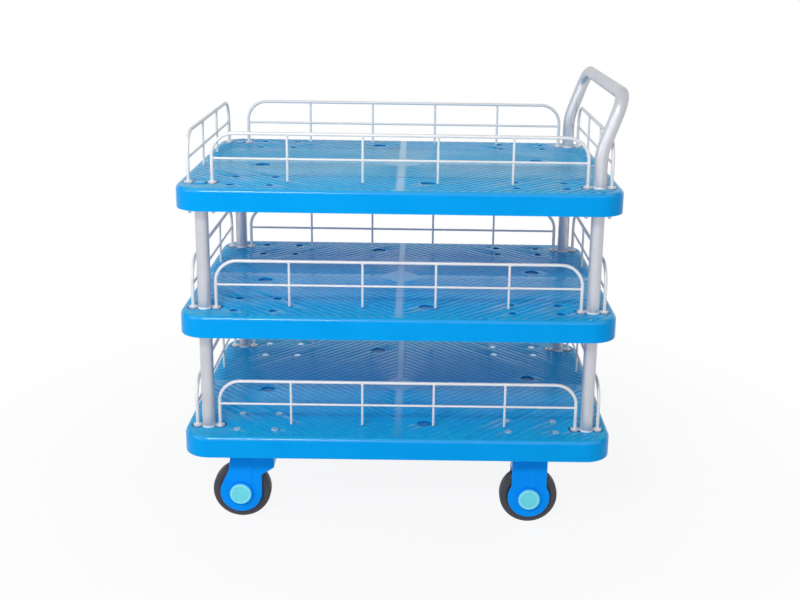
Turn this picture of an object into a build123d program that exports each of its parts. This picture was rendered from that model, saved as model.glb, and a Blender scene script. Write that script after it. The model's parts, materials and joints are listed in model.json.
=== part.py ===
from build123d import *
import math
import os

os.makedirs("parts", exist_ok=True)

# Three-tier platform cart, in millimetres. X runs along the decks with the handle at +X,
# Y runs from the front (-Y) to the back, and Z = 0 is the floor under the middle of the decks.

# Decks: one moulding, used three times
deck_length = 900.0
deck_width = 600.0
deck_height = 46.0
deck_corner_r = 56.0
deck_edge_r = 8.0
deck_skin = 5.0
deck_wall = 5.0
deck_pitch = 264.0
tread_margin_x = 40.0
tread_margin_y = 140.0
tread_corner_r = 12.0
tread_rise = 0.4
rib_pitch = 84.0
rib_depth = 26.0
rib_thick = 3.0
dimple_r = 16.0
dimple_depth = 2.5
dimple_side_x = 146.0
dimple_side_y = 42.0
dimple_end_x = 57.0
dimple_end_y = 81.0

# Corner posts and their sockets
post_d = 27.2
tube_wall = 2.0
socket_depth = 22.0
socket_clear = 0.15
socket_pad_wall = 5.4
socket_screw_d = 5.0
socket_screw_head_d = 9.0
socket_screw_head_h = 3.0
socket_screw_inset = 12.0
socket_screw_tip = 1.5
screw_clear = 0.2
cap_brim_h = 1.5
cap_plug_h = 8.0

# Guard rails
rail_rod_d = 7.0
rail_wire_d = 5.0
rail_height = 101.0
rail_mid_height = 50.0
rail_bend_r = 45.0
rail_wire_lift = 5.0
rail_hole_clear = 0.3
rail_thread_end = 10.0
long_rail_wires = 4
short_rail_wires = 2
flange_d = 18.0
flange_h = 3.0
foot_gap_clear = 1.4
foot_edge_x = 24.0
foot_edge_y = 60.0
washer_d = 14.0
washer_h = 1.6
rail_nut_flats = 11.0
rail_nut_h = 5.5
nut_bore_clear = 0.1

# Handle
handle_bar_height = 187.0
handle_lean = 40.0
handle_bend_height = 72.0
handle_bend_r = 120.0
handle_corner_r = 41.0

# Casters
wheel_d = 125.0
tyre_width = 30.0
tyre_depth = 15.0
tyre_shoulder_r = 8.0
rim_width = 27.0
rim_depth = 8.0
web_thick = 9.0
hub_r = 15.0
bush_wall = 2.0
axle_d = 10.0
axle_fit = 0.05
hub_side_gap = 0.4
arm_gap = 38.0
arm_thick = 5.0
arm_end_r = 45.5
arm_edge_r = 3.0
arm_back_angle = 155.0
arm_back = 21.0
waist_back = 26.5
waist_rise = 50.0
waist_r = 20.0
armpit_rise = 42.0
armpit_r = 10.0
arm_bore_clear = 0.1
band_thick = 1.2
band_shift = 5.0
swivel_band_width = 37.0
rigid_band_width = 15.0
boss_r = 26.0
boss_height = 5.0
boss_pocket_r = 20.0
boss_pocket_depth = 6.0
axle_hex_flats = 16.0
axle_hex_h = 4.0
hub_cap_r = 23.0
hub_cap_h = 4.0
hub_cap_rim = 4.5
hub_cap_dish = 0.8
hub_cap_plug_h = 1.8
hub_cap_clear = 0.1
trail = 38.0
well_gap = 11.0
crown_thick = 18.0
crown_front = 34.0
chin_drop = 33.0
chin_r = 4.0
neck_height = 12.0
neck_r = 32.0
bearing_gap = 4.0
plate_thick = 4.0
plate_margin = 12.0
plate_corner_r = 8.0
swivel_inset_x = 150.0
swivel_inset_y = 84.0
swivel_hole_pitch = 80.0
rigid_inset_x = 165.0
rigid_inset_y = 74.0
rigid_hole_pitch_x = 100.0
rigid_hole_pitch_y = 55.0
rigid_head_length = 76.0
rigid_flare_r = 18.0
kingpin_d = 12.0
kingpin_fit = 0.06
kingpin_head_r = 12.0
kingpin_head_h = 4.0
kingpin_nut_flats = 18.0
kingpin_nut_h = 9.0
kingpin_nut_gap = 0.3
kingpin_relief = 4.0
ball_r = 4.0
ball_count = 16
ball_ring_r = 22.0
ball_seat_clear = 0.2
ball_run_clear = 0.3
pad_thick = 6.0
bolt_d = 8.0
bolt_hole_clear = 0.5
caster_hole_clear = 0.2
bolt_head_r = 8.0
bolt_head_h = 4.0
bolt_head_edge_r = 1.2
bolt_seat_clear = 0.6
bolt_seat_depth = 3.5
bolt_end = 2.0
bolt_boss_r = 11.0

# Heights of the main planes, from the floor up
axle_z = wheel_d / 2
crown_top = wheel_d + well_gap + crown_thick
neck_top = crown_top + neck_height
seat_z = neck_top + bearing_gap + plate_thick
lower_top = seat_z + deck_height
middle_top = lower_top + deck_pitch
upper_top = middle_top + deck_pitch
deck_tops = {"lower": lower_top, "middle": middle_top, "upper": upper_top}
ball_z = neck_top + bearing_gap / 2

# Corner rows: end rail foot, post and side rail foot stand in one line along X
foot_gap = post_d / 2 + flange_d / 2 + foot_gap_clear
end_foot_x = deck_length / 2 - foot_edge_x
post_x = end_foot_x - foot_gap
side_foot_x = post_x - foot_gap
row_y = deck_width / 2 - foot_edge_y
post_r = post_d / 2
pad_width = 2 * (post_r + socket_pad_wall)
pad_reach = deck_length / 2 - deck_wall / 2 - post_x
corners = {
    "front_left": (-1, -1),
    "back_left": (-1, 1),
    "front_right": (1, -1),
    "back_right": (1, 1),
}
post_points = [(sx * post_x, sy * row_y) for sx, sy in corners.values()]
foot_points = [(sx * x, sy * row_y) for sx, sy in corners.values() for x in (end_foot_x, side_foot_x)]

# Caster places and their bolt holes
swivel_x = swivel_inset_x - deck_length / 2
swivel_y = deck_width / 2 - swivel_inset_y
rigid_x = deck_length / 2 - rigid_inset_x
rigid_y = deck_width / 2 - rigid_inset_y
swivel_points = [(swivel_x, -swivel_y), (swivel_x, swivel_y)]
rigid_points = [(rigid_x, -rigid_y), (rigid_x, rigid_y)]
swivel_plate = swivel_hole_pitch + 2 * plate_margin
rigid_plate_x = rigid_hole_pitch_x + 2 * plate_margin
rigid_plate_y = rigid_hole_pitch_y + 2 * plate_margin
half_pitch = swivel_hole_pitch / 2
bolt_points = [
    (x + sx * half_pitch, y + sy * half_pitch)
    for x, y in swivel_points for sx in (-1, 1) for sy in (-1, 1)
] + [
    (x + sx * rigid_hole_pitch_x / 2, y + sy * rigid_hole_pitch_y / 2)
    for x, y in rigid_points for sx in (-1, 1) for sy in (-1, 1)
]

# Shared caster sizes
arm_inner = arm_gap / 2
arm_outer = arm_inner + arm_thick
boss_outer = arm_outer + boss_height
arch_r = wheel_d / 2 + well_gap
rim_r = wheel_d / 2 - tyre_depth
axle_r = axle_d / 2
bush_bore_r = axle_r + axle_fit
bush_r = bush_bore_r + bush_wall
hub_half = arm_inner - hub_side_gap
flats_to_radius = 1 / math.cos(math.pi / 6)


def finish(piece, name):
    """Names one finished piece and writes it."""
    piece.part.label = name
    export_step(piece.part, f"parts/{name}.step")


def build_deck(name, top, hole_clear):
    """One deck: a ribbed shell open below, with corner sockets, rail holes and caster bosses."""
    base = top - deck_height
    inner_depth = deck_height - deck_skin
    rib_count_x = 2 * int((deck_length / 2 - deck_corner_r) / rib_pitch) + 1
    rib_count_y = 2 * int((deck_width / 2 - deck_corner_r) / rib_pitch) + 1
    screw_hole_length = pad_width / 2 + screw_clear
    with BuildPart() as deck:
        with BuildSketch(Plane.XY.offset(base)):
            RectangleRounded(deck_length, deck_width, deck_corner_r)
        extrude(amount=deck_height)
        fillet(deck.edges().group_by(Axis.Z)[-1], radius=deck_edge_r)
        with BuildSketch(Plane.XY.offset(base)):
            RectangleRounded(
                deck_length - 2 * deck_wall, deck_width - 2 * deck_wall, deck_corner_r - deck_wall
            )
        extrude(amount=inner_depth, mode=Mode.SUBTRACT)
        with BuildSketch(Plane.XY.offset(top)):
            RectangleRounded(
                deck_length - 2 * tread_margin_x, deck_width - 2 * tread_margin_y, tread_corner_r
            )
        extrude(amount=tread_rise)
        with BuildSketch(Plane.XY.offset(top - deck_skin - rib_depth)):
            with GridLocations(rib_pitch, rib_pitch, rib_count_x, 1):
                Rectangle(rib_thick, deck_width - deck_wall)
            with GridLocations(rib_pitch, rib_pitch, 1, rib_count_y):
                Rectangle(deck_length - deck_wall, rib_thick)
        extrude(amount=rib_depth)
        # Solid corner pads carry the sockets and the rail feet, and run into the end walls
        with BuildSketch(Plane.XY.offset(base)):
            with Locations(*post_points):
                SlotOverall(2 * pad_reach, pad_width)
        extrude(amount=inner_depth)
        # Caster seats: a plate at the rim level and a boss around every bolt
        with BuildSketch(Plane.XY.offset(base)):
            with Locations(*swivel_points):
                Rectangle(swivel_plate, swivel_plate)
            with Locations(*rigid_points):
                Rectangle(rigid_plate_x, rigid_plate_y)
        extrude(amount=pad_thick)
        with BuildSketch(Plane.XY.offset(base)):
            with Locations(*bolt_points):
                Circle(bolt_boss_r)
        extrude(amount=inner_depth)
        with BuildSketch(Plane.XY.offset(base)):
            with Locations(*swivel_points):
                Circle(kingpin_head_r + kingpin_relief)
        extrude(amount=inner_depth, mode=Mode.SUBTRACT)
        with BuildSketch(Plane.XY.offset(top)):
            with Locations(*post_points):
                Circle(post_r + socket_clear)
        extrude(amount=-socket_depth, mode=Mode.SUBTRACT)
        with BuildSketch(Plane.XY.offset(base)):
            with Locations(*post_points):
                Circle(post_r + socket_clear)
        extrude(amount=socket_depth, mode=Mode.SUBTRACT)
        for sx, sy in corners.values():
            screw_y = sy * (row_y - screw_hole_length / 2)
            for screw_z in (top - socket_screw_inset, base + socket_screw_inset):
                with Locations((sx * post_x, screw_y, screw_z)):
                    Cylinder(
                        socket_screw_d / 2 + screw_clear, screw_hole_length,
                        rotation=(90, 0, 0), mode=Mode.SUBTRACT,
                    )
        with BuildSketch(Plane.XY.offset(base)):
            with Locations(*foot_points):
                Circle(rail_rod_d / 2 + rail_hole_clear)
            with Locations(*bolt_points):
                Circle(bolt_d / 2 + hole_clear)
        extrude(amount=deck_height + tread_rise, mode=Mode.SUBTRACT)
        with BuildSketch(Plane.XY.offset(top)):
            with Locations(*bolt_points):
                Circle(bolt_head_r + bolt_seat_clear)
        extrude(amount=-bolt_seat_depth, mode=Mode.SUBTRACT)
        # Four shallow round dimples, two near the long edges and two near the ends
        with BuildSketch(Plane.XY.offset(top + tread_rise)):
            for side in (-1, 1):
                with Locations((side * (deck_length / 2 - dimple_side_x), side * dimple_side_y)):
                    Circle(dimple_r)
                with Locations((side * dimple_end_x, -side * (deck_width / 2 - dimple_end_y))):
                    Circle(dimple_r)
        extrude(amount=-(dimple_depth + tread_rise), mode=Mode.SUBTRACT)
    finish(deck, name)


def build_post(name, x, y, bottom, top):
    """A straight tube seated in the sockets above and below, with a screw hole at each end."""
    inward = -math.copysign(1.0, y)
    with BuildPart() as post:
        with BuildSketch(Plane.XY.offset(bottom)):
            with Locations((x, y)):
                Circle(post_r)
                Circle(post_r - tube_wall, mode=Mode.SUBTRACT)
        extrude(amount=top - bottom)
        end_inset = socket_depth - socket_screw_inset
        for z in (bottom + end_inset, top - end_inset):
            with Locations((x, y + inward * post_r / 2, z)):
                Cylinder(
                    socket_screw_d / 2 + screw_clear, post_r + tube_wall,
                    rotation=(90, 0, 0), mode=Mode.SUBTRACT,
                )
    finish(post, name)


def build_handle():
    """A bent tube: two legs that lean out over the end of the deck, joined by a straight bar."""
    foot_z = upper_top - socket_depth
    bar_x = post_x + handle_lean
    bar_z = upper_top + handle_bar_height
    leg = [
        (post_x, foot_z),
        (post_x, upper_top + handle_bend_height),
        (bar_x, bar_z),
    ]
    route = [(x, -row_y, z) for x, z in leg] + [(x, row_y, z) for x, z in reversed(leg)]
    radii = [handle_bend_r, handle_corner_r, handle_corner_r, handle_bend_r]
    with BuildPart() as handle_tube:
        with BuildLine() as path:
            FilletPolyline(*route, radius=radii)
        with BuildSketch(Plane.XY.offset(foot_z)):
            with Locations((post_x, -row_y)):
                Circle(post_r)
                Circle(post_r - tube_wall, mode=Mode.SUBTRACT)
        sweep(path=path.wires()[0])
        for side in (-1, 1):
            with Locations((post_x, side * (row_y - post_r / 2), upper_top - socket_screw_inset)):
                Cylinder(
                    socket_screw_d / 2 + screw_clear, post_r + tube_wall,
                    rotation=(90, 0, 0), mode=Mode.SUBTRACT,
                )
    finish(handle_tube, "handle_tube")


def build_rail(name, centre, along, span, wire_count):
    """A welded guard rail: a bent rod frame with a mid wire, upright wires and two foot flanges."""
    normal = Vector(*along).cross(Vector(0, 0, 1))
    wall_plane = Plane(origin=centre, x_dir=along, z_dir=normal)
    leg_drop = deck_height + washer_h + rail_nut_h + rail_thread_end
    step = span / (wire_count + 1)
    offsets = [step * (i + 1) - span / 2 for i in range(wire_count)]
    with BuildPart() as rail:
        with BuildLine(wall_plane) as frame_path:
            FilletPolyline(
                (-span / 2, -leg_drop), (-span / 2, rail_height),
                (span / 2, rail_height), (span / 2, -leg_drop),
                radius=rail_bend_r,
            )
        with BuildSketch(Plane(wall_plane.from_local_coords((-span / 2, -leg_drop, 0)))):
            Circle(rail_rod_d / 2)
        sweep(path=frame_path.wires()[0])
        start = wall_plane.from_local_coords((-span / 2, rail_mid_height, 0))
        with BuildSketch(Plane(origin=start, z_dir=along)):
            Circle(rail_wire_d / 2)
        extrude(amount=span)
        with BuildSketch(Plane(wall_plane.from_local_coords((0, rail_wire_lift, 0)), x_dir=along)):
            with Locations(*[(u, 0) for u in offsets]):
                Circle(rail_wire_d / 2)
        extrude(amount=rail_height - rail_wire_lift)
        with BuildSketch(Plane(wall_plane.origin, x_dir=along)):
            with Locations((-span / 2, 0), (span / 2, 0)):
                Circle(flange_d / 2)
        extrude(amount=flange_h)
    finish(rail, name)


def build_rail_fixings():
    """A washer and a nut under every rail foot, on all three decks."""
    with BuildPart() as rail_washers:
        for top in deck_tops.values():
            with BuildSketch(Plane.XY.offset(top - deck_height - washer_h)):
                with Locations(*foot_points):
                    Circle(washer_d / 2)
                    Circle(rail_rod_d / 2 + rail_hole_clear, mode=Mode.SUBTRACT)
            extrude(amount=washer_h)
    finish(rail_washers, "rail_washers")
    with BuildPart() as rail_nuts:
        for top in deck_tops.values():
            with BuildSketch(Plane.XY.offset(top - deck_height - washer_h - rail_nut_h)):
                with Locations(*foot_points):
                    RegularPolygon(rail_nut_flats / 2 * flats_to_radius, 6)
                    Circle(rail_rod_d / 2 + nut_bore_clear, mode=Mode.SUBTRACT)
            extrude(amount=rail_nut_h)
    finish(rail_nuts, "rail_nuts")


def build_socket_screws():
    """Cross screws that hold the tubes in their sockets, reached from inside the deck rims."""
    places = []
    for tier, (sx, sy) in [(t, c) for t in deck_tops for c in corners.values()]:
        top = deck_tops[tier]
        if tier != "upper" or sx > 0:
            places.append((sx, sy, top - socket_screw_inset))
        if tier != "lower":
            places.append((sx, sy, top - deck_height + socket_screw_inset))
    seat_y = row_y - pad_width / 2
    shank = row_y - post_r + tube_wall + socket_screw_tip - seat_y
    with BuildPart() as socket_screws:
        for sx, sy, z in places:
            with Locations((sx * post_x, sy * (seat_y + shank / 2), z)):
                Cylinder(socket_screw_d / 2, shank, rotation=(90, 0, 0))
            with Locations((sx * post_x, sy * (seat_y - socket_screw_head_h / 2), z)):
                Cylinder(socket_screw_head_d / 2, socket_screw_head_h, rotation=(90, 0, 0))
    finish(socket_screws, "socket_screws")


def build_socket_caps():
    """Flat caps that close the two empty sockets on the upper deck, at the end away from the handle."""
    points = [(-post_x, -row_y), (-post_x, row_y)]
    with BuildPart() as socket_caps:
        with BuildSketch(Plane.XY.offset(upper_top - cap_plug_h)):
            with Locations(*points):
                Circle(post_r)
        extrude(amount=cap_plug_h)
        with BuildSketch(Plane.XY.offset(upper_top)):
            with Locations(*points):
                Circle(post_r + foot_gap_clear / 2)
        extrude(amount=cap_brim_h)
    finish(socket_caps, "socket_caps")


def build_caster_fixings():
    """Sixteen bolts sunk into the lower deck, and their nuts under the caster plates."""
    nut_top = seat_z - plate_thick
    bolt_low = nut_top - rail_nut_h - bolt_end
    head_seat = lower_top - bolt_seat_depth
    with BuildPart() as caster_bolts:
        with BuildSketch(Plane.XY.offset(bolt_low)):
            with Locations(*bolt_points):
                Circle(bolt_d / 2)
        extrude(amount=head_seat - bolt_low)
        with BuildSketch(Plane.XY.offset(head_seat)):
            with Locations(*bolt_points):
                Circle(bolt_head_r)
        extrude(amount=bolt_head_h)
        fillet(caster_bolts.edges().group_by(Axis.Z)[-1], radius=bolt_head_edge_r)
    finish(caster_bolts, "caster_bolts")
    with BuildPart() as caster_nuts:
        with BuildSketch(Plane.XY.offset(nut_top - rail_nut_h)):
            with Locations(*bolt_points):
                RegularPolygon(rail_nut_flats / 2 * flats_to_radius, 6)
                Circle(bolt_d / 2 + nut_bore_clear, mode=Mode.SUBTRACT)
        extrude(amount=rail_nut_h)
    finish(caster_nuts, "caster_nuts")


def side_plane(x, y):
    """An upright plane along X, with its own y axis up, through the point (x, y) on the floor."""
    return Plane(origin=(x, y, 0), x_dir=(1, 0, 0), z_dir=(0, -1, 0))


def build_swivel_plate(name, x, y):
    """The top plate of a swivel caster, with its bolt holes, kingpin hole and ball groove."""
    with BuildPart() as plate:
        with BuildSketch(Plane.XY.offset(seat_z - plate_thick)):
            with Locations((x, y)):
                RectangleRounded(swivel_plate, swivel_plate, plate_corner_r)
                Circle(kingpin_d / 2, mode=Mode.SUBTRACT)
            with Locations((x, y)):
                with GridLocations(swivel_hole_pitch, swivel_hole_pitch, 2, 2):
                    Circle(bolt_d / 2 + caster_hole_clear, mode=Mode.SUBTRACT)
        extrude(amount=plate_thick)
        with Locations((x, y, ball_z)):
            Torus(ball_ring_r, ball_r + ball_seat_clear, mode=Mode.SUBTRACT)
    finish(plate, name)


def build_swivel_bearings():
    """The kingpins with their nuts, and the rings of balls, of both swivel casters."""
    nut_seat = wheel_d + well_gap - kingpin_nut_gap
    with BuildPart() as kingpins:
        with BuildSketch(Plane.XY.offset(nut_seat - kingpin_nut_h)):
            with Locations(*swivel_points):
                RegularPolygon(kingpin_nut_flats / 2 * flats_to_radius, 6)
        extrude(amount=kingpin_nut_h)
        with BuildSketch(Plane.XY.offset(nut_seat)):
            with Locations(*swivel_points):
                Circle(kingpin_d / 2)
        extrude(amount=seat_z - nut_seat)
        with BuildSketch(Plane.XY.offset(seat_z)):
            with Locations(*swivel_points):
                Circle(kingpin_head_r)
        extrude(amount=kingpin_head_h)
    finish(kingpins, "kingpins")
    with BuildPart() as bearing_balls:
        for x, y in swivel_points:
            with Locations((x, y, ball_z)):
                with PolarLocations(ball_ring_r, ball_count):
                    Sphere(ball_r)
    finish(bearing_balls, "bearing_balls")


def arm_block(axle_x, y, outline, soft_corners):
    """A block as wide as both arms, cut to the caster's side outline, with its outer edges rounded."""
    with BuildPart() as block:
        with BuildSketch(side_plane(axle_x, y + arm_outer)) as side:
            with Locations((0, axle_z)):
                Circle(arm_end_r)
            Polygon(*outline, align=None)
            for (corner_x, corner_z), corner_r in soft_corners:
                fillet(side.vertices().sort_by_distance((corner_x, corner_z, 0))[0], radius=corner_r)
        extrude(amount=2 * arm_outer)
        cheeks = block.faces().filter_by(Axis.Y).sort_by(Axis.Y)
        fillet(cheeks[0].outer_wire().edges() + cheeks[-1].outer_wire().edges(), radius=arm_edge_r)
    return block.part


def arm_relief(axle_x, y, top_z, band_width):
    """The raised bands and the hub bosses on the outer faces of both arms."""
    with BuildPart() as relief:
        for side in (-1, 1):
            with BuildSketch(side_plane(axle_x, y + side * arm_outer)):
                with Locations((band_shift, (axle_z + top_z) / 2)):
                    Rectangle(band_width, top_z - axle_z)
            extrude(amount=-side * band_thick)
            with BuildSketch(side_plane(axle_x, y + side * arm_outer)):
                with Locations((0, axle_z)):
                    Circle(boss_r)
            extrude(amount=-side * boss_height)
    return relief.part


def wheel_well(axle_x, y):
    """The space between the arms, with the axle bore and the pockets for the axle's ends."""
    with BuildPart() as well:
        with Locations((axle_x, y, axle_z)):
            Cylinder(arch_r, arm_gap, rotation=(90, 0, 0))
            Cylinder(axle_r + arm_bore_clear, 2 * boss_outer, rotation=(90, 0, 0))
        for side in (-1, 1):
            with Locations((axle_x, y + side * (boss_outer - boss_pocket_depth / 2), axle_z)):
                Cylinder(boss_pocket_r, boss_pocket_depth, rotation=(90, 0, 0))
    return well.part


def build_swivel_fork(name, x, y):
    """The swivelling fork: a neck under the plate, and a crown that reaches back into two arms."""
    axle_x = x - trail
    front = trail + crown_front
    back_angle = math.radians(arm_back_angle)
    armpit = (arm_end_r, axle_z + armpit_rise)
    chin = (front, crown_top - chin_drop)
    waist = (-waist_back, axle_z + waist_rise)
    outline = [
        (arm_end_r, axle_z),
        armpit,
        chin,
        (front, crown_top),
        (-arm_back, crown_top),
        waist,
        (arm_end_r * math.cos(back_angle), axle_z + arm_end_r * math.sin(back_angle)),
    ]
    block = arm_block(axle_x, y, outline, [(armpit, armpit_r), (chin, chin_r), (waist, waist_r)])
    relief = arm_relief(axle_x, y, crown_top - arm_edge_r, swivel_band_width)
    well = wheel_well(axle_x, y)
    with BuildPart() as fork:
        with BuildSketch(Plane.XY.offset(neck_top)):
            with Locations((x, y)):
                Circle(neck_r)
        extrude(amount=-neck_height - arm_edge_r)
        add(block)
        add(relief)
        add(well, mode=Mode.SUBTRACT)
        with Locations((x, y, 0)):
            Cylinder(kingpin_d / 2 + kingpin_fit, 2 * neck_top, mode=Mode.SUBTRACT)
        with BuildSketch(Plane.XY.offset(wheel_d + well_gap)):
            with Locations((x, y)):
                Circle(kingpin_nut_flats / 2 * flats_to_radius + kingpin_relief)
        extrude(amount=-arch_r, mode=Mode.SUBTRACT)
        with Locations((x, y, ball_z)):
            Torus(ball_ring_r, ball_r + ball_run_clear, mode=Mode.SUBTRACT)
    finish(fork, name)


def build_rigid_bracket(name, x, y):
    """The fixed caster's bracket: plate, crown and two arms in one piece."""
    plate_low = seat_z - plate_thick
    half_head = rigid_head_length / 2
    flare_z = axle_z + math.sqrt(arm_end_r ** 2 - half_head ** 2)
    outline = [
        (half_head, axle_z),
        (half_head, plate_low),
        (-half_head, plate_low),
        (-half_head, axle_z),
    ]
    flares = [((side * half_head, flare_z), rigid_flare_r) for side in (-1, 1)]
    block = arm_block(x, y, outline, flares)
    relief = arm_relief(x, y, plate_low - arm_edge_r, rigid_band_width)
    well = wheel_well(x, y)
    with BuildPart() as bracket:
        with BuildSketch(Plane.XY.offset(plate_low)):
            with Locations((x, y)):
                RectangleRounded(rigid_plate_x, rigid_plate_y, plate_corner_r)
                with GridLocations(rigid_hole_pitch_x, rigid_hole_pitch_y, 2, 2):
                    Circle(bolt_d / 2 + caster_hole_clear, mode=Mode.SUBTRACT)
        extrude(amount=plate_thick)
        add(block)
        add(relief)
        add(well, mode=Mode.SUBTRACT)
    finish(bracket, name)


def build_axle(name, x, y):
    """An axle bolt with a hexagon head, and the nut on its other end, both inside the hub bosses."""
    hex_seat = boss_outer - boss_pocket_depth
    hex_r = axle_hex_flats / 2 * flats_to_radius
    with BuildPart() as axle:
        with BuildSketch(side_plane(x, y + hex_seat + axle_hex_h)):
            with Locations((0, axle_z)):
                Circle(axle_r)
        extrude(amount=2 * hex_seat + axle_hex_h)
        with BuildSketch(side_plane(x, y - hex_seat)):
            with Locations((0, axle_z)):
                RegularPolygon(hex_r, 6)
        extrude(amount=axle_hex_h)
        with BuildSketch(side_plane(x, y + hex_seat)):
            with Locations((0, axle_z)):
                RegularPolygon(hex_r, 6)
                Circle(axle_r + nut_bore_clear, mode=Mode.SUBTRACT)
        extrude(amount=-axle_hex_h)
    finish(axle, name)


def build_hub_caps(name, x, y):
    """Two round dished caps that close the hub bosses."""
    with BuildPart() as hub_caps:
        for side in (-1, 1):
            with BuildSketch(side_plane(x, y + side * boss_outer)):
                with Locations((0, axle_z)):
                    Circle(hub_cap_r)
            extrude(amount=-side * hub_cap_h)
            outer_edges = hub_caps.edges().filter_by(GeomType.CIRCLE).sort_by(Axis.Y)
            fillet(outer_edges[0 if side < 0 else -1], radius=hub_cap_h / 2)
            with BuildSketch(side_plane(x, y + side * (boss_outer + hub_cap_h))):
                with Locations((0, axle_z)):
                    Circle(hub_cap_r - hub_cap_rim)
            extrude(amount=side * hub_cap_dish, mode=Mode.SUBTRACT)
            with BuildSketch(side_plane(x, y + side * boss_outer)):
                with Locations((0, axle_z)):
                    Circle(boss_pocket_r - hub_cap_clear)
            extrude(amount=side * hub_cap_plug_h)
    finish(hub_caps, name)


def build_wheel(place, x, y):
    """The wheel: a core with hub, web and rim, a tyre round it and a bush in its bore."""
    section_plane = Plane(origin=(x, y, axle_z), x_dir=(0, 1, 0), z_dir=(1, 0, 0))
    spin = Axis((x, y, axle_z), (0, 1, 0))
    rim_low = rim_r - rim_depth
    with BuildPart() as core:
        with BuildSketch(section_plane):
            with Locations((0, (bush_r + hub_r) / 2)):
                Rectangle(2 * hub_half, hub_r - bush_r)
            with Locations((0, (bush_r + rim_r) / 2)):
                Rectangle(web_thick, rim_r - bush_r)
            with Locations((0, (rim_low + rim_r) / 2)):
                Rectangle(rim_width, rim_depth)
        revolve(axis=spin)
    finish(core, f"wheel_core_{place}")
    with BuildPart() as tyre:
        with BuildSketch(section_plane) as tread:
            with Locations((0, (rim_r + wheel_d / 2) / 2)):
                Rectangle(tyre_width, tyre_depth)
            fillet(tread.vertices().group_by(Axis.Y)[-1], radius=tyre_shoulder_r)
        revolve(axis=spin)
    finish(tyre, f"tyre_{place}")
    with BuildPart() as bush:
        with BuildSketch(section_plane):
            with Locations((0, (bush_bore_r + bush_r) / 2)):
                Rectangle(2 * hub_half, bush_wall)
        revolve(axis=spin)
    finish(bush, f"wheel_bush_{place}")


for tier, tier_top in deck_tops.items():
    build_deck(f"{tier}_deck", tier_top, caster_hole_clear if tier == "lower" else bolt_hole_clear)

for tier, tier_top in (("lower", lower_top), ("upper", middle_top)):
    for place, (sx, sy) in corners.items():
        build_post(
            f"{tier}_post_{place}", sx * post_x, sy * row_y,
            tier_top - socket_depth, tier_top + deck_pitch - deck_height + socket_depth,
        )

build_handle()

for tier, tier_top in deck_tops.items():
    for place, side in (("front", -1), ("back", 1)):
        build_rail(
            f"{tier}_rail_{place}", (0, side * row_y, tier_top), (1, 0, 0), 2 * side_foot_x, long_rail_wires
        )
    for place, side in (("left", -1), ("right", 1)):
        build_rail(
            f"{tier}_rail_{place}", (side * end_foot_x, 0, tier_top), (0, 1, 0), 2 * row_y, short_rail_wires
        )

build_rail_fixings()
build_socket_screws()
build_socket_caps()
build_caster_fixings()
build_swivel_bearings()

for place, (caster_x, caster_y) in zip(("front_left", "back_left"), swivel_points):
    build_swivel_plate(f"caster_plate_{place}", caster_x, caster_y)
    build_swivel_fork(f"caster_fork_{place}", caster_x, caster_y)
    build_axle(f"axle_{place}", caster_x - trail, caster_y)
    build_hub_caps(f"hub_caps_{place}", caster_x - trail, caster_y)
    build_wheel(place, caster_x - trail, caster_y)

for place, (caster_x, caster_y) in zip(("front_right", "back_right"), rigid_points):
    build_rigid_bracket(f"caster_bracket_{place}", caster_x, caster_y)
    build_axle(f"axle_{place}", caster_x, caster_y)
    build_hub_caps(f"hub_caps_{place}", caster_x, caster_y)
    build_wheel(place, caster_x, caster_y)
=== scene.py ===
import json

import bpy
import numpy as np
from mathutils import Matrix, Vector


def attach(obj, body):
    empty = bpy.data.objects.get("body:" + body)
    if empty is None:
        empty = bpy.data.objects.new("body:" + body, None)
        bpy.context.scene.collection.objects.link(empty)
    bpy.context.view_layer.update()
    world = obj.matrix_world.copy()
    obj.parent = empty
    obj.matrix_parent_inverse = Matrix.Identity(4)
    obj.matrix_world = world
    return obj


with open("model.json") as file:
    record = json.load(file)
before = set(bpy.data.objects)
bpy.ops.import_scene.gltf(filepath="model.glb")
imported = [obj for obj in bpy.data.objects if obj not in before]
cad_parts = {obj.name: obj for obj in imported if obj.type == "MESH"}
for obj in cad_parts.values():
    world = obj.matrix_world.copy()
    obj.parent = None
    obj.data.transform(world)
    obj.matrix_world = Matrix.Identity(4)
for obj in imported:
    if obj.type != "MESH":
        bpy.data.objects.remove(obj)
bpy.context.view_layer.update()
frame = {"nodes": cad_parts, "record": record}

# Sizes of the cart in metres, as in the CAD source
lower_top = 0.220
deck_pitch = 0.264
deck_tops = {tier: lower_top + step * deck_pitch for step, tier in enumerate(("lower", "middle", "upper"))}
deck_half = np.array([0.450, 0.300])
deck_corner = 0.056
corner_signs = np.array([[-1, -1], [-1, 1], [1, -1], [1, 1]], float)
post_x = 0.402
row_y = 0.240
foot_gap = 0.024
end_foot_x = post_x + foot_gap
side_foot_x = post_x - foot_gap
swivel_at = (-0.300, 0.216)
rigid_at = (0.285, 0.226)
swivel_pitch = (0.080, 0.080)
rigid_pitch = (0.100, 0.055)
dimples = np.array([[0.304, 0.042], [-0.304, -0.042], [0.057, -0.219], [-0.057, 0.219]])
dimple_r = 0.016
trail = 0.038
axle_z = 0.0625
tube_r = 0.0136
rail_top = 0.101
rail_mid = 0.050
rod_r = 0.0035
flange_h = 0.0030
side_wires = 4
end_wires = 2

# Weld fillets and beads on the rails, and rings at the feet of the tubes; angles in degrees
collar_r = 0.0048
collar_h = 0.0020
ring_r = 0.0149
ring_h = 0.0034
ring_bite = 0.0003
foot_sink = 0.0004
bead_radii = np.array([0.0035, 0.0035, 0.0032])
bead_top_angle = 72
bead_turn_step = 36
round_turn_step = 20
arc_points = 6

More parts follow.
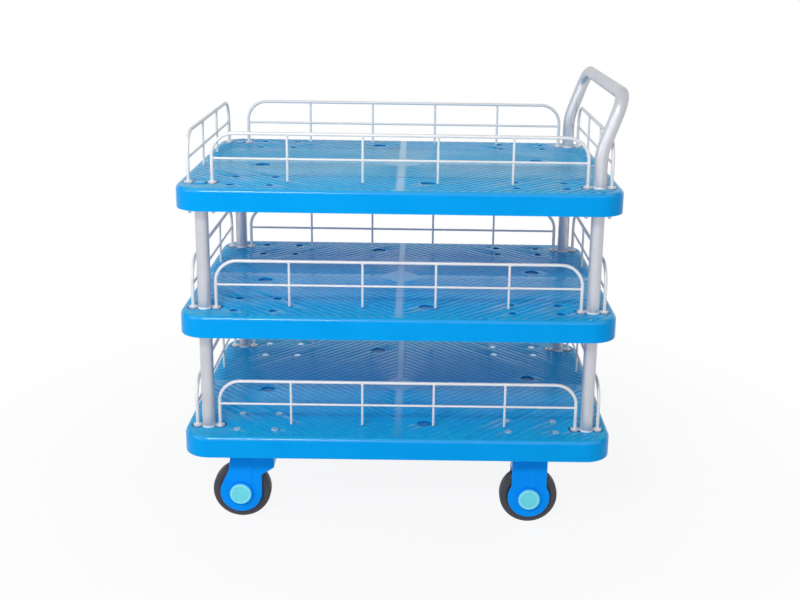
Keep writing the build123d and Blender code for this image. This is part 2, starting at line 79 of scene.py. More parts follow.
# Anti-slip ribs on the deck tops, and the circles that they stay out of
rib_step = 0.0222
rib_first = 0.062
rib_width = 0.0100
rib_height = 0.0012
rib_sink = 0.0002
rib_taper = 0.0030
rib_shortest = 0.009
rib_border = 0.011
rib_sample = 0.001
band_half_x = 0.008
band_half_y = 0.010
post_clear_r = 0.0200
pad_clear_r = 0.0460
pad_shift = 0.032
foot_clear_r = 0.0135
hole_clear_r = 0.0120
dimple_margin = 0.003
dimple_clear_r = dimple_r + dimple_margin

# Where the finish and the painted shade of a deck change: each pair or row is where a change starts and
# where it is complete
recess_shade_depths = (0.0006, 0.0018, 0.0046, 0.0049)
recess_shade_border = (0.020, 0.016)
joint_shadow_ring = (0.0125, 0.0155)
diamond_fade = (0.014, 0.006)
band_fade = (0.004, 0.002)
rim_fade = (0.013, 0.009)

# Rings about the axles as radius and width, and the radii between which the worn tread starts
tyre_rings = ((0.0570, 0.0011), (0.0502, 0.0009))
cap_ring = (0.0205, 0.0040)
tread_radii = (0.0605, 0.0622)

# Colours of the finishes; a pair is the lighter and the deeper shade
deck_shades = ((0.002, 0.352, 0.865), (0.001, 0.330, 0.827))
fork_shades = ((0.003, 0.315, 0.980), (0.002, 0.285, 0.930))
core_shades = ((0.040, 0.040, 0.044), (0.028, 0.028, 0.031))
tube_shades = ((0.610, 0.622, 0.668), (0.560, 0.572, 0.618))
rail_shades = ((0.815, 0.822, 0.838), (0.755, 0.762, 0.778))
zinc_shades = ((0.54, 0.80, 0.95), (0.42, 0.68, 0.84))
tyre_shades = ((0.052, 0.050, 0.062), (0.034, 0.033, 0.041))
cap_shades = ((0.165, 0.760, 0.860), (0.130, 0.700, 0.800))
cap_rim_cyan = (0.260, 0.840, 0.960)
tread_grey = (0.090, 0.087, 0.095)
# Painted shade: the deeper blue laid in the holes, dimples and rail-foot joints of the decks
recess_shade_blue = (0.001, 0.110, 0.330)
# Pale veil of dust on faces that look up, also painted light that makes the deck tops lighter
dust_and_top_light_blue = (0.03, 0.70, 0.86)
blue_gloss = (0.25, 0.80, 0.95)
plain_gloss = (1.0, 1.0, 1.0)

# The part of the cloud noise that is spread over a whole change of shade or gloss
cloud_span = (0.3, 0.7)
plastic_span = (0.32, 0.68)

wheels = {
    "front_left": (swivel_at[0] - trail, -swivel_at[1]),
    "back_left": (swivel_at[0] - trail, swivel_at[1]),
    "front_right": (rigid_at[0], -rigid_at[1]),
    "back_right": (rigid_at[0], rigid_at[1]),
}


# Node helpers

def put(tree, kind, **settings):
    """Adds one node to a tree; settings are its properties."""
    made = tree.nodes.new(kind)
    for key, value in settings.items():
        setattr(made, key, value)
    return made


def join(tree, start, end):
    """Links an output socket to an input socket."""
    tree.links.new(start, end)


def calc(tree, operation, first, second=None, clamp=False):
    """A Math node; each input is a number or a socket. Returns its output."""
    made = put(tree, "ShaderNodeMath", operation=operation, use_clamp=clamp)
    for index, value in enumerate((first, second)):
        if value is None:
            continue
        if isinstance(value, (int, float)):
            made.inputs[index].default_value = value
        else:
            join(tree, value, made.inputs[index])
    return made.outputs[0]


def blend_colour(tree, share, first, second):
    """A colour mix by a 0 to 1 share; the colours are tuples or sockets. Returns the colour."""
    made = put(tree, "ShaderNodeMix", data_type="RGBA", clamp_factor=True)
    join(tree, share, made.inputs["Factor"])
    for socket, value in ((made.inputs[6], first), (made.inputs[7], second)):
        if isinstance(value, tuple):
            socket.default_value = value + (1.0,)
        else:
            join(tree, value, socket)
    return made.outputs[2]


def spread(tree, value, low, high, to_low, to_high):
    """Maps a value from one range to another, held at both ends. Returns the value."""
    made = put(tree, "ShaderNodeMapRange", clamp=True)
    join(tree, value, made.inputs["Value"])
    for key, number in (("From Min", low), ("From Max", high), ("To Min", to_low), ("To Max", to_high)):
        made.inputs[key].default_value = number
    return made.outputs["Result"]


def split_place(tree):
    """The x, y and z of the object place, as the outputs of one node."""
    place = put(tree, "ShaderNodeSeparateXYZ")
    join(tree, put(tree, "ShaderNodeTexCoord").outputs["Object"], place.inputs[0])
    return place.outputs


def start_group(name, inputs, outputs):
    """A shader node group with named sockets; returns it with its two end nodes."""
    group = bpy.data.node_groups.new(name, "ShaderNodeTree")
    for label, kind, value in inputs:
        socket = group.interface.new_socket(label, in_out="INPUT", socket_type=kind)
        if value is not None:
            socket.default_value = value
    for label in outputs:
        group.interface.new_socket(label, in_out="OUTPUT", socket_type="NodeSocketFloat")
    return group, put(group, "NodeGroupInput"), put(group, "NodeGroupOutput")


def moulded_skin_group():
    """Fine moulded grain as a height, and a slow cloud for uneven gloss, both from noise on the place."""
    group, given, result = start_group(
        "moulded skin",
        [("Place", "NodeSocketVector", None), ("Grain per metre", "NodeSocketFloat", 900.0),
         ("Clouds per metre", "NodeSocketFloat", 14.0)],
        ["Grain", "Cloud"],
    )
    for key, label, detail in (("Grain per metre", "Grain", 2.0), ("Clouds per metre", "Cloud", 4.0)):
        noise = put(group, "ShaderNodeTexNoise")
        noise.inputs["Detail"].default_value = detail
        join(group, given.outputs["Place"], noise.inputs["Vector"])
        join(group, given.outputs[key], noise.inputs["Scale"])
        join(group, noise.outputs["Fac"], result.inputs[label])
    return group


def handling_marks_group():
    """Short rubbed streaks: slanted noise stretched along X and along Y, kept only where it is high."""
    group, given, result = start_group(
        "handling marks",
        [("Place", "NodeSocketVector", None), ("Marks per metre", "NodeSocketFloat", 60.0),
         ("Cut", "NodeSocketFloat", 0.66)],
        ["Marks"],
    )
    slant = 0.35
    contrast = 9.0
    streaks = []
    for stretch in ((0.10, 1.0, 1.0), (1.0, 0.12, 0.6)):
        turn = put(group, "ShaderNodeMapping")
        turn.inputs["Rotation"].default_value = (0.0, 0.0, slant)
        turn.inputs["Scale"].default_value = stretch
        join(group, given.outputs["Place"], turn.inputs["Vector"])
        noise = put(group, "ShaderNodeTexNoise")
        noise.inputs["Detail"].default_value = 3.0
        join(group, turn.outputs["Vector"], noise.inputs["Vector"])
        join(group, given.outputs["Marks per metre"], noise.inputs["Scale"])
        over = calc(group, "SUBTRACT", noise.outputs["Fac"], given.outputs["Cut"])
        streaks.append(calc(group, "MULTIPLY", over, contrast, clamp=True))
    join(group, calc(group, "MAXIMUM", *streaks), result.inputs["Marks"])
    return group


def dust_and_top_light_group():
    """Dust and painted top light: a thin veil on faces that look up, from the upward share of the normal,
    broken by noise.
    """
    group, given, result = start_group(
        "dust and top light",
        [("Place", "NodeSocketVector", None), ("Normal", "NodeSocketVector", None),
         ("Amount", "NodeSocketFloat", 0.1)],
        ["Dust"],
    )
    steepest = 0.55
    patch_span = (0.35, 0.75)
    thinnest = 0.60
    split = put(group, "ShaderNodeSeparateXYZ")
    join(group, given.outputs["Normal"], split.inputs[0])
    noise = put(group, "ShaderNodeTexNoise")
    noise.inputs["Scale"].default_value = 38.0
    noise.inputs["Detail"].default_value = 5.0
    join(group, given.outputs["Place"], noise.inputs["Vector"])
    up = spread(group, split.outputs["Z"], steepest, 1.0, 0.0, 1.0)
    broken = spread(group, noise.outputs["Fac"], *patch_span, thinnest, 1.0)
    veil = calc(group, "MULTIPLY", up, broken)
    join(group, calc(group, "MULTIPLY", veil, given.outputs["Amount"]), result.inputs["Dust"])
    return group


def axle_ring_group():
    """A ring about a wheel's axle: 1 at the radius, falling evenly to 0 one width to either side of it. The
    distance from the axle is also put out."""
    group, given, result = start_group(
        "axle ring",
        [("Place", "NodeSocketVector", None), ("Centre", "NodeSocketVector", None),
         ("Radius", "NodeSocketFloat", 0.05), ("Width", "NodeSocketFloat", 0.002)],
        ["Ring", "Distance"],
    )
    offset = put(group, "ShaderNodeVectorMath", operation="SUBTRACT")
    join(group, given.outputs["Place"], offset.inputs[0])
    join(group, given.outputs["Centre"], offset.inputs[1])
    flat = put(group, "ShaderNodeVectorMath", operation="MULTIPLY")
    flat.inputs[1].default_value = (1.0, 0.0, 1.0)
    join(group, offset.outputs["Vector"], flat.inputs[0])
    length = put(group, "ShaderNodeVectorMath", operation="LENGTH")
    join(group, flat.outputs["Vector"], length.inputs[0])
    past = calc(group, "SUBTRACT", length.outputs["Value"], given.outputs["Radius"])
    share = calc(group, "DIVIDE", calc(group, "ABSOLUTE", past), given.outputs["Width"])
    join(group, calc(group, "SUBTRACT", 1.0, share, clamp=True), result.inputs["Ring"])
    join(group, length.outputs["Value"], result.inputs["Distance"])
    return group


moulded_skin = moulded_skin_group()
handling_marks = handling_marks_group()
dust_and_top_light = dust_and_top_light_group()
axle_ring = axle_ring_group()


def use_group(tree, group, place, **values):
    """Places a group in a material, fed with the place and with its own values."""
    made = put(tree, "ShaderNodeGroup", node_tree=group)
    join(tree, place, made.inputs["Place"])
    for key, value in values.items():
        socket = made.inputs[key.replace("_", " ")]
        if hasattr(value, "links"):
            join(tree, value, socket)
        else:
            socket.default_value = value
    return made


def start_material(name, metallic=0.0, ior=1.5, tint=plain_gloss):
    """A material with one Principled BSDF; returns it with its tree, its shader and the object place."""
    material = bpy.data.materials.new(name)
    material.use_nodes = True
    tree = material.node_tree
    shader = tree.nodes["Principled BSDF"]
    shader.inputs["Metallic"].default_value = metallic
    shader.inputs["IOR"].default_value = ior
    shader.inputs["Specular Tint"].default_value = tint + (1.0,)
    place = put(tree, "ShaderNodeTexCoord").outputs["Object"]
    return material, tree, shader, place


def add_bump(tree, shader, height, depth):
    """A bump of the given depth in metres from a 0 to 1 height."""
    bump = put(tree, "ShaderNodeBump")
    bump.inputs["Strength"].default_value = 1.0
    bump.inputs["Distance"].default_value = depth
    join(tree, height, bump.inputs["Height"])
    join(tree, bump.outputs["Normal"], shader.inputs["Normal"])


def moulded_plastic(name, colour, deep, roughness, dust_and_top_light_amount, tint=plain_gloss):
    """Glossy moulded plastic: two shades of one colour by the cloud, uneven gloss, rubbed marks and a veil
    of dust that also paints light on faces that look up."""
    smoother, rougher = 0.02, 0.04
    rub_dulling = 0.12
    dust_dulling = 0.12
    material, tree, shader, place = start_material(name, ior=1.18, tint=tint)
    skin = use_group(tree, moulded_skin, place)
    marks = use_group(tree, handling_marks, place)
    normal = put(tree, "ShaderNodeNewGeometry").outputs["Normal"]
    veil = use_group(tree, dust_and_top_light, place, Normal=normal, Amount=dust_and_top_light_amount)
    cloud = spread(tree, skin.outputs["Cloud"], *plastic_span, 0.0, 1.0)
    body = blend_colour(tree, cloud, deep, colour)
    # dust and painted top light laid over the body colour
    dust_and_top_lit = blend_colour(tree, veil.outputs["Dust"], body, dust_and_top_light_blue)
    join(tree, dust_and_top_lit, shader.inputs["Base Color"])
    uneven = spread(tree, skin.outputs["Cloud"], *cloud_span, roughness - smoother, roughness + rougher)
    rubbed = calc(tree, "MULTIPLY_ADD", marks.outputs["Marks"], rub_dulling)
    join(tree, uneven, rubbed.node.inputs[2])
    dulled = calc(tree, "MULTIPLY", veil.outputs["Dust"], dust_dulling)
    join(tree, calc(tree, "ADD", rubbed, dulled, clamp=True), shader.inputs["Roughness"])
    add_bump(tree, shader, skin.outputs["Grain"], depth=0.000015)
    return material


def gloss_deck(material):
    """Clear gloss on two places of a deck: the smooth cross and diamond of its top, where |x|, |y| or their
    sum is small and the face looks up, and its rounded rim, near the outline where the face is tilted."""
    diamond_gloss, band_glosses = 0.7, (1.0, 0.6)
    rim_gloss, top_gloss = 0.50, 0.45
    top_facing = (0.90, 0.98)
    rim_facing_low, rim_facing_high = (0.10, 0.30), (0.80, 0.97)
    tree = material.node_tree
    shader = tree.nodes["Principled BSDF"]
    shader.inputs["Coat Roughness"].default_value = 0.18
    shader.inputs["Coat IOR"].default_value = 1.7
    place = split_place(tree)
    normal = put(tree, "ShaderNodeSeparateXYZ")
    join(tree, put(tree, "ShaderNodeNewGeometry").outputs["Normal"], normal.inputs[0])
    facing = normal.outputs["Z"]
    away = [calc(tree, "ABSOLUTE", place[axis]) for axis in "XY"]
    total = calc(tree, "ADD", *away)
    flat = spread(tree, total, rib_first - diamond_fade[0], rib_first - diamond_fade[1], diamond_gloss, 0.0)
    for distance, half, share in zip(away, (band_half_x, band_half_y), band_glosses):
        band = spread(tree, distance, half - band_fade[0], half + band_fade[1], share, 0.0)
        flat = calc(tree, "MAXIMUM", flat, band)
    rims = [
        spread(tree, distance, half - rim_fade[0], half - rim_fade[1], 0.0, rim_gloss)
        for distance, half in zip(away, deck_half)
    ]
    up = spread(tree, facing, *top_facing, 0.0, top_gloss)
    tilted = calc(tree, "MULTIPLY", spread(tree, facing, *rim_facing_low, 0.0, 1.0),
                  spread(tree, facing, *rim_facing_high, 1.0, 0.0))
    rim = calc(tree, "MULTIPLY", calc(tree, "MAXIMUM", *rims), tilted)
    join(tree, calc(tree, "MAXIMUM", calc(tree, "MULTIPLY", flat, up), rim), shader.inputs["Coat Weight"])


def paint_recess_shade(material):
    """Painted shade in the holes and dimples of a deck: a deeper blue where a face inside the border lies a
    little below the top of its deck, found from the height over the lower deck taken modulo the deck pitch.
    Also a painted shadow, a dark ring in the joint round every rail foot, from the distance to its axis
    with x and y taken without their signs."""
    recess_shade_share, joint_shadow_share = 0.6, 0.9
    tree = material.node_tree
    shader = tree.nodes["Principled BSDF"]
    surface = shader.inputs["Base Color"].links[0].from_socket
    place = split_place(tree)
    over = calc(tree, "SUBTRACT", place["Z"], lower_top)
    depth = calc(tree, "SUBTRACT", deck_pitch, calc(tree, "FLOORED_MODULO", over, deck_pitch))
    start, full, last, end = recess_shade_depths
    # painted shade in the holes and dimples
    painted_shade = calc(tree, "MULTIPLY", spread(tree, depth, start, full, 0.0, recess_shade_share),
                spread(tree, depth, last, end, 1.0, 0.0))
    folded = put(tree, "ShaderNodeCombineXYZ")
    for axis, half in zip("XY", deck_half):
        distance = calc(tree, "ABSOLUTE", place[axis])
        join(tree, distance, folded.inputs[axis])
        inside = spread(tree, distance, half - recess_shade_border[0], half - recess_shade_border[1], 1.0, 0.0)
        painted_shade = calc(tree, "MULTIPLY", painted_shade, inside)
    # painted shadow ring round each rail foot
    for foot_x in (end_foot_x, side_foot_x):
        gap = put(tree, "ShaderNodeVectorMath", operation="DISTANCE")
        join(tree, folded.outputs[0], gap.inputs[0])
        gap.inputs[1].default_value = (foot_x, row_y, 0.0)
        joint = spread(tree, gap.outputs["Value"], *joint_shadow_ring, joint_shadow_share, 0.0)
        painted_shade = calc(tree, "MAXIMUM", painted_shade, joint)
    join(tree, blend_colour(tree, painted_shade, surface, recess_shade_blue), shader.inputs["Base Color"])


def powder_coat(name, colour, shade, roughness, metallic):
    """Powder-coated steel: a faint orange peel, a slow change of shade and small rubbed marks."""
    rub_shading = 0.25
    rub_dulling = 0.10
    material, tree, shader, place = start_material(name, metallic=metallic, ior=1.38)
    skin = use_group(tree, moulded_skin, place, Grain_per_metre=520.0, Clouds_per_metre=22.0)
    marks = use_group(tree, handling_marks, place, Marks_per_metre=90.0, Cut=0.64)
    cloud = spread(tree, skin.outputs["Cloud"], *cloud_span, 0.0, 1.0)
    body = blend_colour(tree, cloud, shade, colour)
    worn = calc(tree, "MULTIPLY", marks.outputs["Marks"], rub_shading)
    join(tree, blend_colour(tree, worn, body, shade), shader.inputs["Base Color"])
    rubbed = calc(tree, "MULTIPLY_ADD", marks.outputs["Marks"], rub_dulling)
    rubbed.node.inputs[2].default_value = roughness
    join(tree, rubbed, shader.inputs["Roughness"])
    add_bump(tree, shader, skin.outputs["Grain"], depth=0.00002)
    return material


def clouded_finish(tree, shader, skin, shades, roughness_span):
    """Sets the roughness from the cloud and returns the colour that it gives between two shades."""
    colour, deep = shades
    cloud = spread(tree, skin.outputs["Cloud"], *cloud_span, 0.0, 1.0)
    uneven = spread(tree, skin.outputs["Cloud"], *cloud_span, *roughness_span)
    join(tree, uneven, shader.inputs["Roughness"])
    return blend_colour(tree, cloud, deep, colour)


def zinc_plate(name):
    """Blue-passivated zinc on steel: cloudy pale metal with a spangled gloss."""
    material, tree, shader, place = start_material(name, metallic=0.55)
    skin = use_group(tree, moulded_skin, place, Grain_per_metre=700.0, Clouds_per_metre=160.0)
    body = clouded_finish(tree, shader, skin, zinc_shades, (0.22, 0.38))
    join(tree, body, shader.inputs["Base Color"])
    add_bump(tree, shader, skin.outputs["Grain"], depth=0.00003)
    return material


def wheel_rubber(place_name, centre):
    """Grey rubber with two moulded rings on each side wall and a worn, paler tread."""
    tread_wear = 0.55
    grain_share = 0.12
    material, tree, shader, place = start_material(f"tyre rubber {place_name}")
    skin = use_group(tree, moulded_skin, place, Grain_per_metre=1400.0, Clouds_per_metre=45.0)
    outer, inner = [
        use_group(tree, axle_ring, place, Centre=centre, Radius=radius, Width=width)
        for radius, width in tyre_rings
    ]
    rings = calc(tree, "MAXIMUM", outer.outputs["Ring"], inner.outputs["Ring"])
    body = clouded_finish(tree, shader, skin, tyre_shades, (0.48, 0.66))
    tread = spread(tree, outer.outputs["Distance"], *tread_radii, 0.0, tread_wear)
    join(tree, blend_colour(tree, tread, body, tread_grey), shader.inputs["Base Color"])
    grain = calc(tree, "MULTIPLY", skin.outputs["Grain"], grain_share)
    add_bump(tree, shader, calc(tree, "ADD", rings, grain), depth=0.0005)
    return material


def cap_plastic(place_name, centre):
    """Pale cyan hub cap: the rim a shade lighter than the dish."""
    radius, width = cap_ring
    material, tree, shader, place = start_material(f"hub cap plastic {place_name}")
    skin = use_group(tree, moulded_skin, place)
    rim = use_group(tree, axle_ring, place, Centre=centre, Radius=radius, Width=width)
    dish = clouded_finish(tree, shader, skin, cap_shades, (0.24, 0.34))
    join(tree, blend_colour(tree, rim.outputs["Ring"], dish, cap_rim_cyan), shader.inputs["Base Color"])
    add_bump(tree, shader, skin.outputs["Grain"], depth=0.00003)
    return material


# The dust veil on the decks is also painted light on their tops
deck_blue = moulded_plastic("deck blue plastic", *deck_shades, roughness=0.15, dust_and_top_light_amount=0.46, tint=blue_gloss)
gloss_deck(deck_blue)
# painted shade in the holes, dimples and rail-foot joints of the decks
paint_recess_shade(deck_blue)
fork_blue = moulded_plastic("fork azure plastic", *fork_shades, roughness=0.20, dust_and_top_light_amount=0.0, tint=blue_gloss)
wheel_black = moulded_plastic("wheel core plastic", *core_shades, roughness=0.42, dust_and_top_light_amount=0.0)
tube_grey = powder_coat("tube silver coat", *tube_shades, roughness=0.36, metallic=0.5)
rail_white = powder_coat("rail white coat", *rail_shades, roughness=0.50, metallic=0.20)
zinc = zinc_plate("bright zinc")

slot_materials = {
    "deck_plastic": deck_blue,
    "fork_plastic": fork_blue,
    "core_plastic": wheel_black,
    "tube_paint": tube_grey,
    "rail_paint": rail_white,
    "zinc_steel": zinc,
}


def dress(name, material):
    """Gives a CAD node its material."""
    node = frame["nodes"][name]
    for holder in node.material_slots:
        holder.material = material
    if not node.material_slots:
        node.data.materials.append(material)


for entry in frame["record"]["subparts"]:
    if entry["material_slot"] in slot_materials:
        dress(entry["node"], slot_materials[entry["material_slot"]])
for spot, (wheel_x, wheel_y) in wheels.items():
    axle_point = (wheel_x, wheel_y, axle_z)
    dress(f"tyre_{spot}", wheel_rubber(spot, axle_point))
    dress(f"hub_caps_{spot}", cap_plastic(spot, axle_point))


# Pieces worked out as arrays of points

def loop_faces(count, rings, around):
    """Faces of many equal skins, each of closed loops of points: quads between loops and a cap on both
    ends."""
    ring = np.arange(rings - 1)[:, None] * around
    step = np.arange(around)[None, :]
    here = ring + step
    following = ring + (step + 1) % around
    quads = np.stack([here, here + around, following + around, following], -1).reshape(-1, 4)
    end = np.arange(around)
    caps = np.stack([end, (rings - 1) * around + end[::-1]])
    base = (np.arange(count) * rings * around)[:, None, None]
    return (quads + base).reshape(-1, 4).tolist() + (caps + base).reshape(-1, around).tolist()


def make_piece(name, points, faces, material, body):
    """A finished piece from its points and faces, riding on a body."""
    mesh = bpy.data.meshes.new(name)
    mesh.from_pydata(points.reshape(-1, 3).tolist(), [], faces)
    mesh.shade_smooth()
    mesh.materials.append(material)
    made = bpy.data.objects.new(name, mesh)
    bpy.context.scene.collection.objects.link(made)
    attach(made, body)


def circles_at(spots, radius):
    """Circles (x, y, radius) of one radius at the given spots."""
    return np.column_stack([spots, np.full(len(spots), radius)])


def keep_clear():
    """Circles on a deck that ribs stay out of: posts, two opposite corners, rail feet, bolt holes and
    dimples."""
    posts = circles_at(corner_signs * (post_x, row_y), post_clear_r)
    padded = corner_signs[corner_signs.prod(axis=1) > 0]
    corners = circles_at(padded * (post_x, row_y + pad_shift), pad_clear_r)
    feet = [circles_at(corner_signs * (x, row_y), foot_clear_r) for x in (end_foot_x, side_foot_x)]
    holes = [
        circles_at((x, side * y) + corner_signs * pitch / 2, hole_clear_r)
        for (x, y), pitch in ((swivel_at, swivel_pitch), (rigid_at, rigid_pitch))
        for side in (-1, 1)
    ]
    return np.concatenate([posts, corners, *feet, *holes, circles_at(dimples, dimple_clear_r)])


def rib_runs():
    """Start and end (x, y) of every rib of one deck.

    In each quarter a rib lies on |x| + |y| = c with c in equal steps. The points on it at equal steps of
    |y| are kept where they are past the smooth cross bands, inside the rounded border and outside every
    circle to keep clear.
    """
    sums = np.arange(rib_first, deck_half.sum(), rib_step)[:, None]
    across = np.arange(0.0, deck_half[1], rib_sample)[None, :]
    x, y = sums - across, across + 0.0 * sums
    inner = deck_half - deck_corner
    past = np.stack([x - inner[0], y - inner[1]], -1)
    corner = np.hypot(*np.moveaxis(np.maximum(past, 0.0), -1, 0))
    edge = corner + np.minimum(past.max(-1), 0.0) - deck_corner
    allowed = (x > band_half_x) & (y > band_half_y) & (edge < -rib_border)
    spots = corner_signs[:, None, None, :] * np.stack([x, y], -1)[None]
    circles = keep_clear()
    gap = np.linalg.norm(spots[..., None, :] - circles[:, :2], axis=-1) - circles[:, 2]
    kept = allowed[None] & (gap.min(-1) > 0.0)
    edges = np.diff(np.pad(kept.astype(int), ((0, 0), (0, 0), (1, 1))), axis=-1)
    first = np.argwhere(edges == 1)
    last = np.argwhere(edges == -1) - (0, 0, 1)
    starts = spots[tuple(first.T)]
    ends = spots[tuple(last.T)]
    long_enough = np.linalg.norm(ends - starts, axis=1) > rib_shortest
    return starts[long_enough], ends[long_enough]


def tread_ribs(tier, starts, ends):
    """Ribs of one deck: a low flat-topped profile carried along each run, running out flat over a short
    taper."""
    run = ends - starts
    length = np.linalg.norm(run, axis=1)
    ahead = np.column_stack([run / length[:, None], np.zeros(len(run))])
    aside = np.column_stack([-ahead[:, 1], ahead[:, 0], np.zeros(len(run))])
    stations = np.stack([0 * length, 0 * length + rib_taper, length - rib_taper, length], 1)
    width = np.array([0.45, 1.0, 1.0, 0.45])
    rise = np.array([0.0, 1.0, 1.0, 0.0])
    flank = np.array([0.50, 0.465, 0.415, 0.380, 0.330])
    profile_side = rib_width * np.concatenate([-flank, flank[::-1]])
    climb = np.array([0.0, 0.40, 0.82, 0.96, 1.0])
    profile_up = rib_height * np.concatenate([climb, climb[::-1]])
    base = np.column_stack([starts, np.full(len(run), deck_tops[tier] - rib_sink)])
    points = (
        base[:, None, None, :]
        + stations[:, :, None, None] * ahead[:, None, None, :]
        + (width[:, None] * profile_side)[None, :, :, None] * aside[:, None, None, :]
        + (rise[:, None] * profile_up)[None, :, :, None] * np.array([0.0, 0.0, 1.0])
    )
    faces = loop_faces(len(run), len(width), len(profile_side))
    make_piece(f"tread_ribs_{tier}", points, faces, deck_blue, "frame")


rib_starts, rib_ends = rib_runs()
for tier in deck_tops:
    tread_ribs(tier, rib_starts, rib_ends)


def weld_places(tier):
    """Centres of the weld beads on the rails of one deck, where wires meet rods and other wires."""
    centres = []
    rails = ((0, side_foot_x, row_y, side_wires), (1, row_y, end_foot_x, end_wires))
    for along, reach, offset, count in rails:
        step = 2 * reach / (count + 1)
        wires = step * (np.arange(count) + 1) - reach
        spots = np.concatenate([wires, wires, [-reach + rod_r, reach - rod_r]])
        heights = np.concatenate([np.full(count, rail_top - rod_r), np.full(count + 2, rail_mid)])
        for side in (-1, 1):
            beads = np.empty((len(spots), 3))
            beads[:, along] = spots
            beads[:, 1 - along] = side * offset
            beads[:, 2] = deck_tops[tier] + heights
            centres.append(beads)
    return np.concatenate(centres)


def rail_welds(tier):
    """Weld beads as small ellipsoids: latitude loops about Z, scaled by three radii."""
    centres = weld_places(tier)
    latitude = np.radians(np.linspace(-bead_top_angle, bead_top_angle, arc_points))[:, None]
    turn = np.radians(np.arange(0, 360, bead_turn_step))[None, :]
    ball = np.stack([
        np.cos(latitude) * np.cos(turn), -np.cos(latitude) * np.sin(turn), np.sin(latitude) + 0 * turn,
    ], -1)
    points = centres[:, None, None, :] + bead_radii * ball
    faces = loop_faces(len(centres), latitude.size, turn.size)
    make_piece(f"rail_welds_{tier}", points, faces, rail_white, "frame")


for tier in deck_tops:
    rail_welds(tier)


def turned_piece(name, spots, base_z, radius, height):
    """Equal skins of revolution on one deck: at every spot a loop of points about an upright axis for each
    radius and height."""
    turn = np.radians(np.arange(0, 360, round_turn_step))[None, :]
    skin = np.stack([
        radius[:, None] * np.cos(turn), -radius[:, None] * np.sin(turn), height[:, None] + 0 * turn,
    ], -1)
    base = np.column_stack([spots, np.full(len(spots), base_z)])
    points = base[:, None, None, :] + skin
    faces = loop_faces(len(spots), len(radius), turn.size)
    make_piece(name, points, faces, rail_white, "frame")


def rail_collars(tier):
    """Weld fillets at the rail feet: the radius falls from the fillet's foot to the rod along a quarter
    wave while the height rises evenly."""
    feet = np.concatenate([corner_signs * (x, row_y) for x in (end_foot_x, side_foot_x)])
    share = np.linspace(0.0, 1.0, arc_points)
    radius = np.concatenate([[collar_r], collar_r + (rod_r - collar_r) * np.sin(share * np.pi / 2)])
    height = np.concatenate([[-foot_sink], collar_h * share])
    base_z = deck_tops[tier] + flange_h
    turned_piece(f"rail_collars_{tier}", feet, base_z, radius, height)


def tube_rings(tier):
    """Rings at the feet of the tubes on a deck: a quarter circle from the ring's foot up to the tube. The
    upper deck has tubes at the handle end only."""
    signs = corner_signs[corner_signs[:, 0] > 0] if tier == "upper" else corner_signs
    angle = np.radians(np.linspace(0.0, 90.0, arc_points))
    inner = tube_r - ring_bite
    radius = np.concatenate([[ring_r], inner + (ring_r - inner) * np.cos(angle)])
    height = np.concatenate([[-foot_sink], ring_h * np.sin(angle)])
    spots = signs * (post_x, row_y)
    turned_piece(f"tube_rings_{tier}", spots, deck_tops[tier], radius, height)


for tier in deck_tops:
    rail_collars(tier)
    tube_rings(tier)


# Stage, light and camera

plain_white = (1.0, 1.0, 1.0, 1.0)


def seen_share(tree):
    """1 for camera, glossy and transmission rays, 0 for the rays that light the object."""
    rays = put(tree, "ShaderNodeLightPath").outputs
    return calc(tree, "MAXIMUM", calc(tree, "MAXIMUM", rays["Is Camera Ray"], rays["Is Glossy Ray"]),
                rays["Is Transmission Ray"])


def mix_shaders(tree, share, first, second, output_kind):
    """Mixes two shaders by a 0 to 1 share and links the mix to a new output node."""
    mix = put(tree, "ShaderNodeMixShader")
    join(tree, share, mix.inputs["Fac"])
    join(tree, first.outputs[0], mix.inputs[1])
    join(tree, second.outputs[0], mix.inputs[2])
    join(tree, mix.outputs[0], put(tree, output_kind).inputs["Surface"])


def studio_floor():
    """A wide flat floor that keeps the shadow near the cart and fades to plain white further out."""
    reach = 30.0
    fade_radii = (0.55, 1.3)
    near_white = 0.90
    mesh = bpy.data.meshes.new("studio_floor")
    corners = [(-reach, -reach, 0), (reach, -reach, 0), (reach, reach, 0), (-reach, reach, 0)]
    mesh.from_pydata(corners, [], [(0, 1, 2, 3)])
    material = bpy.data.materials.new("studio floor white")
    material.use_nodes = True
    tree = material.node_tree
    tree.nodes.clear()
    matte = put(tree, "ShaderNodeBsdfDiffuse")
    matte.inputs["Color"].default_value = (0.90, 0.90, 0.90, 1.0)
    white = put(tree, "ShaderNodeEmission")
    white.inputs["Color"].default_value = plain_white
    length = put(tree, "ShaderNodeVectorMath", operation="LENGTH")
    join(tree, put(tree, "ShaderNodeTexCoord").outputs["Object"], length.inputs[0])
    fade = spread(tree, length.outputs["Value"], *fade_radii, near_white, 1.0)
    share = calc(tree, "MULTIPLY", fade, seen_share(tree))
    mix_shaders(tree, share, matte, white, "ShaderNodeOutputMaterial")
    mesh.materials.append(material)
    made = bpy.data.objects.new("studio_floor", mesh)
    bpy.context.scene.collection.objects.link(made)


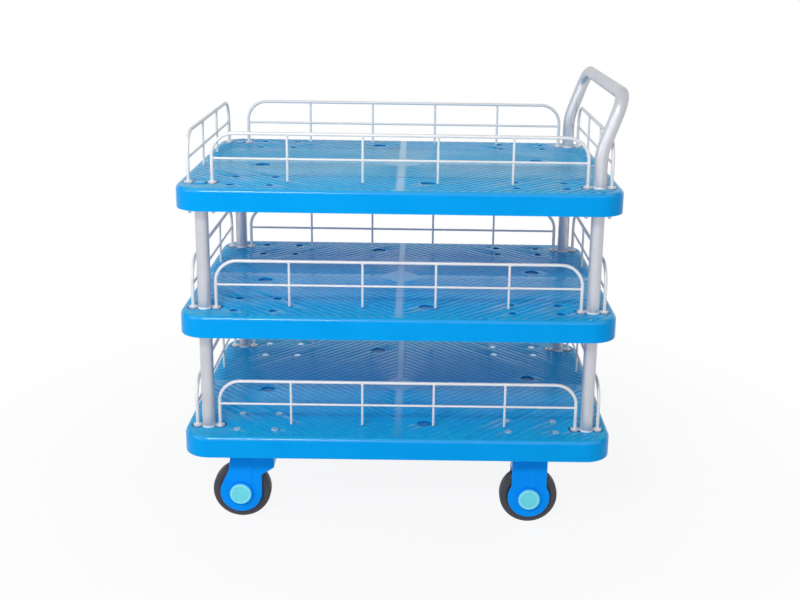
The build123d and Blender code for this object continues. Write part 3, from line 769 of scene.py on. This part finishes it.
def studio_world(level, overhead, left, right, behind):
    """A white sky: plain white where it is seen. Where it lights the cart it has the given level at the
    horizon, falls to the overhead share straight up and down and to the left and right shares at the sides,
    and rises behind the cart."""
    world = bpy.data.worlds.new("studio sky")
    bpy.context.scene.world = world
    world.use_nodes = True
    tree = world.node_tree
    tree.nodes.clear()
    way = put(tree, "ShaderNodeSeparateXYZ")
    join(tree, put(tree, "ShaderNodeTexCoord").outputs["Generated"], way.inputs[0])
    height = spread(tree, calc(tree, "ABSOLUTE", way.outputs["Z"]), 0.0, 1.0, level, level * overhead)
    across = calc(tree, "MULTIPLY", spread(tree, way.outputs["X"], -1.0, 0.0, left, 1.0),
                  spread(tree, way.outputs["X"], 0.0, 1.0, 1.0, right))
    depth = spread(tree, way.outputs["Y"], 0.0, 1.0, 1.0, behind)
    lit = put(tree, "ShaderNodeBackground")
    lit.inputs["Color"].default_value = plain_white
    strength = calc(tree, "MULTIPLY", calc(tree, "MULTIPLY", height, across), depth)
    join(tree, strength, lit.inputs["Strength"])
    seen = put(tree, "ShaderNodeBackground")
    seen.inputs["Color"].default_value = plain_white
    seen.inputs["Strength"].default_value = 1.0
    mix_shaders(tree, seen_share(tree), lit, seen, "ShaderNodeOutputWorld")


def soft_lamp(name, place, aim, size, power):
    """A rectangular soft light aimed at a point."""
    data = bpy.data.lights.new(name, "AREA")
    data.shape = "RECTANGLE"
    data.size, data.size_y = size
    data.energy = power
    lamp = bpy.data.objects.new(name, data)
    lamp.location = place
    lamp.rotation_euler = (Vector(aim) - Vector(place)).to_track_quat("-Z", "Y").to_euler()
    bpy.context.scene.collection.objects.link(lamp)


def photo_camera():
    """The camera of the photograph: focal length and centre in pixels of the picture, turned by yaw about
    Z, pitch about its own side axis and roll about its own line of sight."""
    picture_width, picture_height = 800, 600
    focal, centre_x, centre_y = 1070.77, 422.05, 226.23
    place = (0.03214, -2.35093, 1.19631)
    yaw, pitch, roll = np.radians([0.355, -14.166, 0.890])
    sensor = 36.0
    ahead = Vector((np.sin(yaw) * np.cos(pitch), np.cos(yaw) * np.cos(pitch), np.sin(pitch)))
    level = Vector((np.cos(yaw), -np.sin(yaw), 0.0))
    upward = level.cross(ahead)
    side = np.cos(roll) * level + np.sin(roll) * upward
    top = -np.sin(roll) * level + np.cos(roll) * upward
    data = bpy.data.cameras.new("photo camera")
    data.sensor_fit = "HORIZONTAL"
    data.sensor_width = sensor
    data.lens = focal * sensor / picture_width
    data.shift_x = (picture_width / 2 - centre_x) / picture_width
    data.shift_y = (centre_y - picture_height / 2) / picture_width
    camera = bpy.data.objects.new("photo camera", data)
    turn = Matrix((side, top, -ahead)).transposed().to_4x4()
    camera.matrix_world = Matrix.Translation(place) @ turn
    bpy.context.scene.collection.objects.link(camera)
    bpy.context.scene.camera = camera


studio_floor()
studio_world(level=0.80, overhead=0.15, left=0.62, right=0.68, behind=2.5)
soft_lamp("key softbox", place=(-0.75, -2.3, 2.0), aim=(0.0, -0.2, 0.45), size=(0.9, 0.36), power=32.0)
soft_lamp("left softbox", place=(-2.2, -1.3, 1.2), aim=(0.0, 0.0, 0.45), size=(1.2, 0.7), power=8.0)
soft_lamp("front softbox", place=(0.2, -3.4, 0.8), aim=(0.0, 0.0, 0.35), size=(2.4, 0.9), power=8.0)
photo_camera()
bpy.context.scene.view_settings.view_transform = "Standard"
